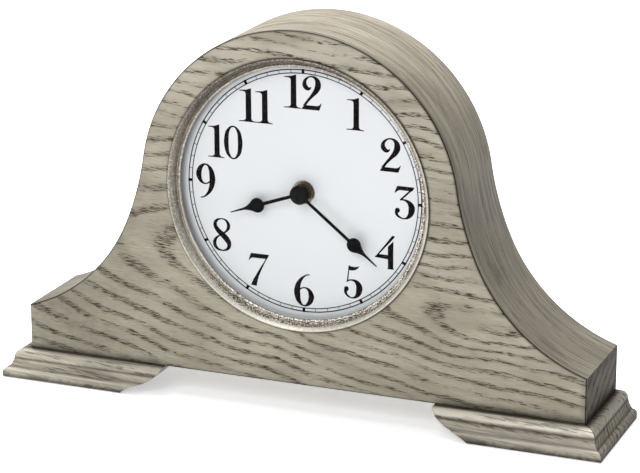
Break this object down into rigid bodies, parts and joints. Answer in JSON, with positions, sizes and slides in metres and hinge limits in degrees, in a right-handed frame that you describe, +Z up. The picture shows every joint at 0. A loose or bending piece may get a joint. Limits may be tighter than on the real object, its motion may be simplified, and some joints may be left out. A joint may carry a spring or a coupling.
{
  "type": "tambour mantel clock",
  "caption": "Low hat-shaped wooden mantel clock with a domed glass, metal bezel, white dial, spade hands and moulded bracket feet.",
  "frame": {"origin": "on the floor, under the middle of the overall width and depth", "axes": "+X to the right seen from the front, +Y to the back, +Z up; the dial faces -Y"},
  "size_m": [0.4, 0.08, 0.242],
  "materials": {
    "grey_oak": "grey-washed open-grained oak under a satin lacquer, dark pores",
    "back_board": "smooth fibre board with a dark stain",
    "softwood": "planed softwood, unfinished",
    "steel": "zinc-plated steel",
    "hardware_brass": "lacquered brass",
    "antique_nickel": "aged nickel plate with a brown patina in the crease",
    "spacer_grey": "matt grey paint",
    "clear_glass": "clear, polished",
    "dial_white": "matt white paint with black printing",
    "hand_black": "satin black paint",
    "black_rubber": "matt",
    "movement_black": "finely textured moulded plastic",
    "dark_plastic": "moulded plastic",
    "gear_white": "self-lubricating moulded plastic",
    "copper_wire": "lacquered copper wire, wound",
    "board_green": "coated circuit board",
    "battery_label": "printed film over steel",
    "felt": "dense felt"
  },
  "bodies": {
    "case": {"front_panel": "grey_oak", "tambour_cover": "grey_oak", "end_panel_left": "grey_oak", "end_panel_right": "grey_oak", "bottom_board": "grey_oak", "foot_front_left": "grey_oak", "foot_front_right": "grey_oak", "foot_side_left": "grey_oak", "foot_side_right": "grey_oak", "back_panel": "back_board", "back_rail_top": "softwood", "back_rail_left": "softwood", "back_rail_right": "softwood", "foot_screws": "steel", "back_panel_screws": "steel", "dial_screws": "steel", "hinge_screws_case": "hardware_brass", "hinge_leaves_case": "hardware_brass", "hinge_pins": "steel", "magnet_catch": "dark_plastic", "foot_pads": "felt", "bezel_ring": "antique_nickel", "dial_washer": "antique_nickel", "dial_nut": "antique_nickel", "threaded_post": "hardware_brass", "glass_dome": "clear_glass", "glass_retaining_ring": "spacer_grey", "dial_spacer_ring": "spacer_grey", "dial_plate": "dial_white", "rubber_washer": "black_rubber", "movement_front_case": "movement_black", "movement_rear_case": "movement_black", "train_plate": "gear_white", "stator": "steel", "coil_bobbin": "dark_plastic", "coil_winding": "copper_wire", "circuit_board": "board_green", "chip": "movement_black", "quartz_crystal": "steel", "contact_positive": "steel", "contact_negative": "steel", "battery_cell": "battery_label"},
    "minute": {"centre_wheel": "gear_white", "minute_hand": "hand_black", "hand_cap": "hand_black"},
    "hour": {"hour_wheel": "gear_white", "hour_hand": "hand_black"},
    "motion": {"motion_wheel": "gear_white"},
    "third": {"third_wheel": "gear_white"},
    "second": {"second_wheel": "gear_white"},
    "intermediate": {"intermediate_wheel": "gear_white"},
    "rotor": {"rotor": "gear_white"},
    "setting": {"setting_knob": "gear_white"},
    "door": {"back_door": "back_board", "door_knob": "hardware_brass", "hinge_leaves_door": "hardware_brass", "hinge_screws_door": "hardware_brass", "strike_plate": "steel"}
  },
  "joints": [
    {"name": "minute_hand_turn", "type": "hinge", "parent": "case", "child": "minute", "pos_m": [0, 0, 0.1386], "axis": [0, 1, 0], "continuous": true},
    {"name": "hour_hand_turn", "type": "hinge", "parent": "case", "child": "hour", "pos_m": [0, 0, 0.1386], "axis": [0, 1, 0], "continuous": true},
    {"name": "motion_wheel_turn", "type": "hinge", "parent": "case", "child": "motion", "pos_m": [0.00677, 0, 0.14106], "axis": [0, 1, 0], "continuous": true},
    {"name": "third_wheel_turn", "type": "hinge", "parent": "case", "child": "third", "pos_m": [-0.00935, 0, 0.144], "axis": [0, 1, 0], "continuous": true},
    {"name": "second_wheel_turn", "type": "hinge", "parent": "case", "child": "second", "pos_m": [-0.00715, 0, 0.15221], "axis": [0, 1, 0], "continuous": true},
    {"name": "intermediate_wheel_turn", "type": "hinge", "parent": "case", "child": "intermediate", "pos_m": [-0.00026, 0, 0.15099], "axis": [0, 1, 0], "continuous": true},
    {"name": "rotor_turn", "type": "hinge", "parent": "case", "child": "rotor", "pos_m": [0.00565, 0, 0.14995], "axis": [0, 1, 0], "continuous": true},
    {"name": "setting_knob_turn", "type": "hinge", "parent": "case", "child": "setting", "pos_m": [0.01378, 0, 0.13701], "axis": [0, 1, 0], "continuous": true},
    {"name": "back_door_hinge", "type": "hinge", "parent": "case", "child": "door", "pos_m": [-0.0604, 0.0325, 0.125], "axis": [0, 0, 1], "range_deg": [0, 110]}
  ],
  "couplings": [
    {"joint": "hour_hand_turn", "follows": "minute_hand_turn", "ratio": 0.083333},
    {"joint": "motion_wheel_turn", "follows": "minute_hand_turn", "ratio": -0.33333},
    {"joint": "third_wheel_turn", "follows": "minute_hand_turn", "ratio": -8},
    {"joint": "second_wheel_turn", "follows": "minute_hand_turn", "ratio": 60},
    {"joint": "intermediate_wheel_turn", "follows": "minute_hand_turn", "ratio": -360},
    {"joint": "rotor_turn", "follows": "minute_hand_turn", "ratio": 1800},
    {"joint": "setting_knob_turn", "follows": "minute_hand_turn", "ratio": 0.66667}
  ]
}
